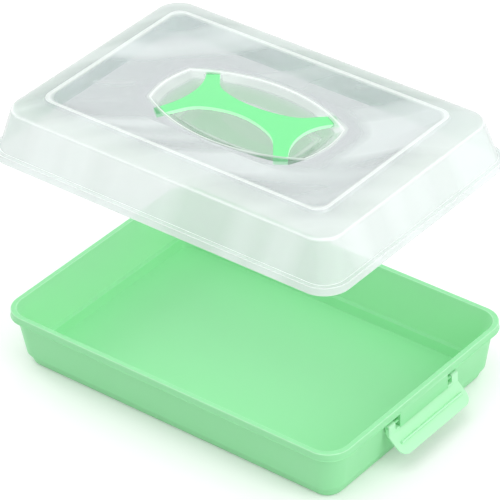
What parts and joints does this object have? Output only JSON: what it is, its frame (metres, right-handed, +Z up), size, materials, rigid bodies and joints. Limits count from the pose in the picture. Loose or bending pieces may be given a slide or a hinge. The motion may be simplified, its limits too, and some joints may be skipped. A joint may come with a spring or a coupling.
{
  "type": "cake box",
  "caption": "Rectangular moulded cake carrier: a mint tray with swinging side latches and a clear dish-topped lid, lifted off, with an arched, splayed handle bridging its grip recess.",
  "frame": {"origin": "middle of the tray's underside, on the surface it stands on", "axes": "+X along the box towards the right latch, +Y across it, +Z up, the way the lid lifts"},
  "size_m": [0.4884, 0.3144, 0.332],
  "materials": {
    "mint_tray": "satin moulded polypropylene",
    "mint_latch": "satin moulded polypropylene",
    "mint_handle": "satin moulded polypropylene",
    "clear_lid": "clear, slightly milky moulded polypropylene"
  },
  "bodies": {
    "tray": {"tray": "mint_tray"},
    "lid": {"lid": "clear_lid", "lid_handle": "mint_handle"},
    "right_latch": {"right_latch": "mint_latch"},
    "left_latch": {"left_latch": "mint_latch"}
  },
  "joints": [
    {"name": "lid_lift", "type": "slide", "parent": "tray", "child": "lid", "axis": [0, 0, 1], "range_m": [-0.205, 0]},
    {"name": "right_latch_hinge", "type": "hinge", "parent": "tray", "child": "right_latch", "pos_m": [0.22207, 0, 0.0525], "axis": [0, -1, 0], "range_deg": [0, 132]},
    {"name": "left_latch_hinge", "type": "hinge", "parent": "tray", "child": "left_latch", "pos_m": [-0.22207, 0, 0.0525], "axis": [0, 1, 0], "range_deg": [0, 132]}
  ]
}
